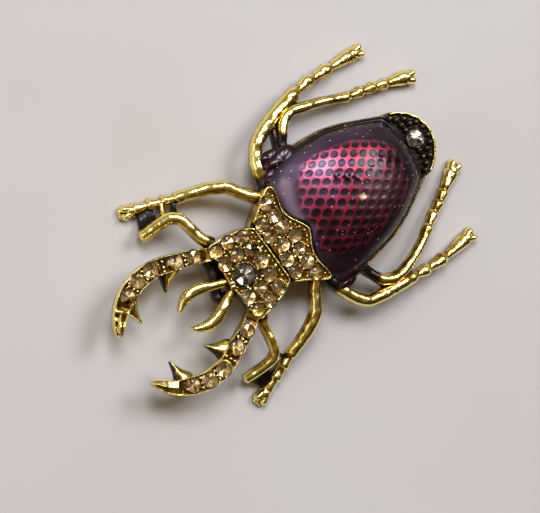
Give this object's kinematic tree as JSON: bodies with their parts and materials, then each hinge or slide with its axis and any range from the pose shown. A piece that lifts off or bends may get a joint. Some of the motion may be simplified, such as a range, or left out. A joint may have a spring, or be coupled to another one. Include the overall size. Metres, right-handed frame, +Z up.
{
  "type": "insect brooch",
  "caption": "Stag beetle brooch: gold casting with long jaws and jointed legs, domed purple enamel wing case, set stones and a pin finding.",
  "frame": {"origin": "on the resting surface, under the middle of the brooch's length and width, on the beetle's centre line", "axes": "+Y towards the jaws, +X to the beetle's right side, +Z up away from the cloth or table"},
  "size_m": [0.0405, 0.0667, 0.011],
  "materials": {
    "antique_gold": "polished gold plate with dark patina in the recesses",
    "purple_enamel": "translucent glossy enamel over a dimpled ground",
    "champagne_stone": "faceted, foil-backed",
    "clear_grey_stone": "faceted, foil-backed",
    "finding_steel": "plated steel"
  },
  "bodies": {
    "root": {"casting": "antique_gold", "enamel_dome": "purple_enamel", "head_stone": "clear_grey_stone", "tail_stone": "clear_grey_stone", "head_pave": "champagne_stone", "pronotum_pave": "champagne_stone", "brooch_pin": "finding_steel", "mandible_stone_right_1": "champagne_stone", "mandible_stone_right_2": "champagne_stone", "mandible_stone_right_3": "champagne_stone", "mandible_stone_right_4": "champagne_stone", "mandible_stone_right_5": "champagne_stone", "mandible_stone_left_1": "champagne_stone", "mandible_stone_left_2": "champagne_stone", "mandible_stone_left_3": "champagne_stone", "mandible_stone_left_4": "champagne_stone", "mandible_stone_left_5": "champagne_stone"}
  },
  "joints": []
}
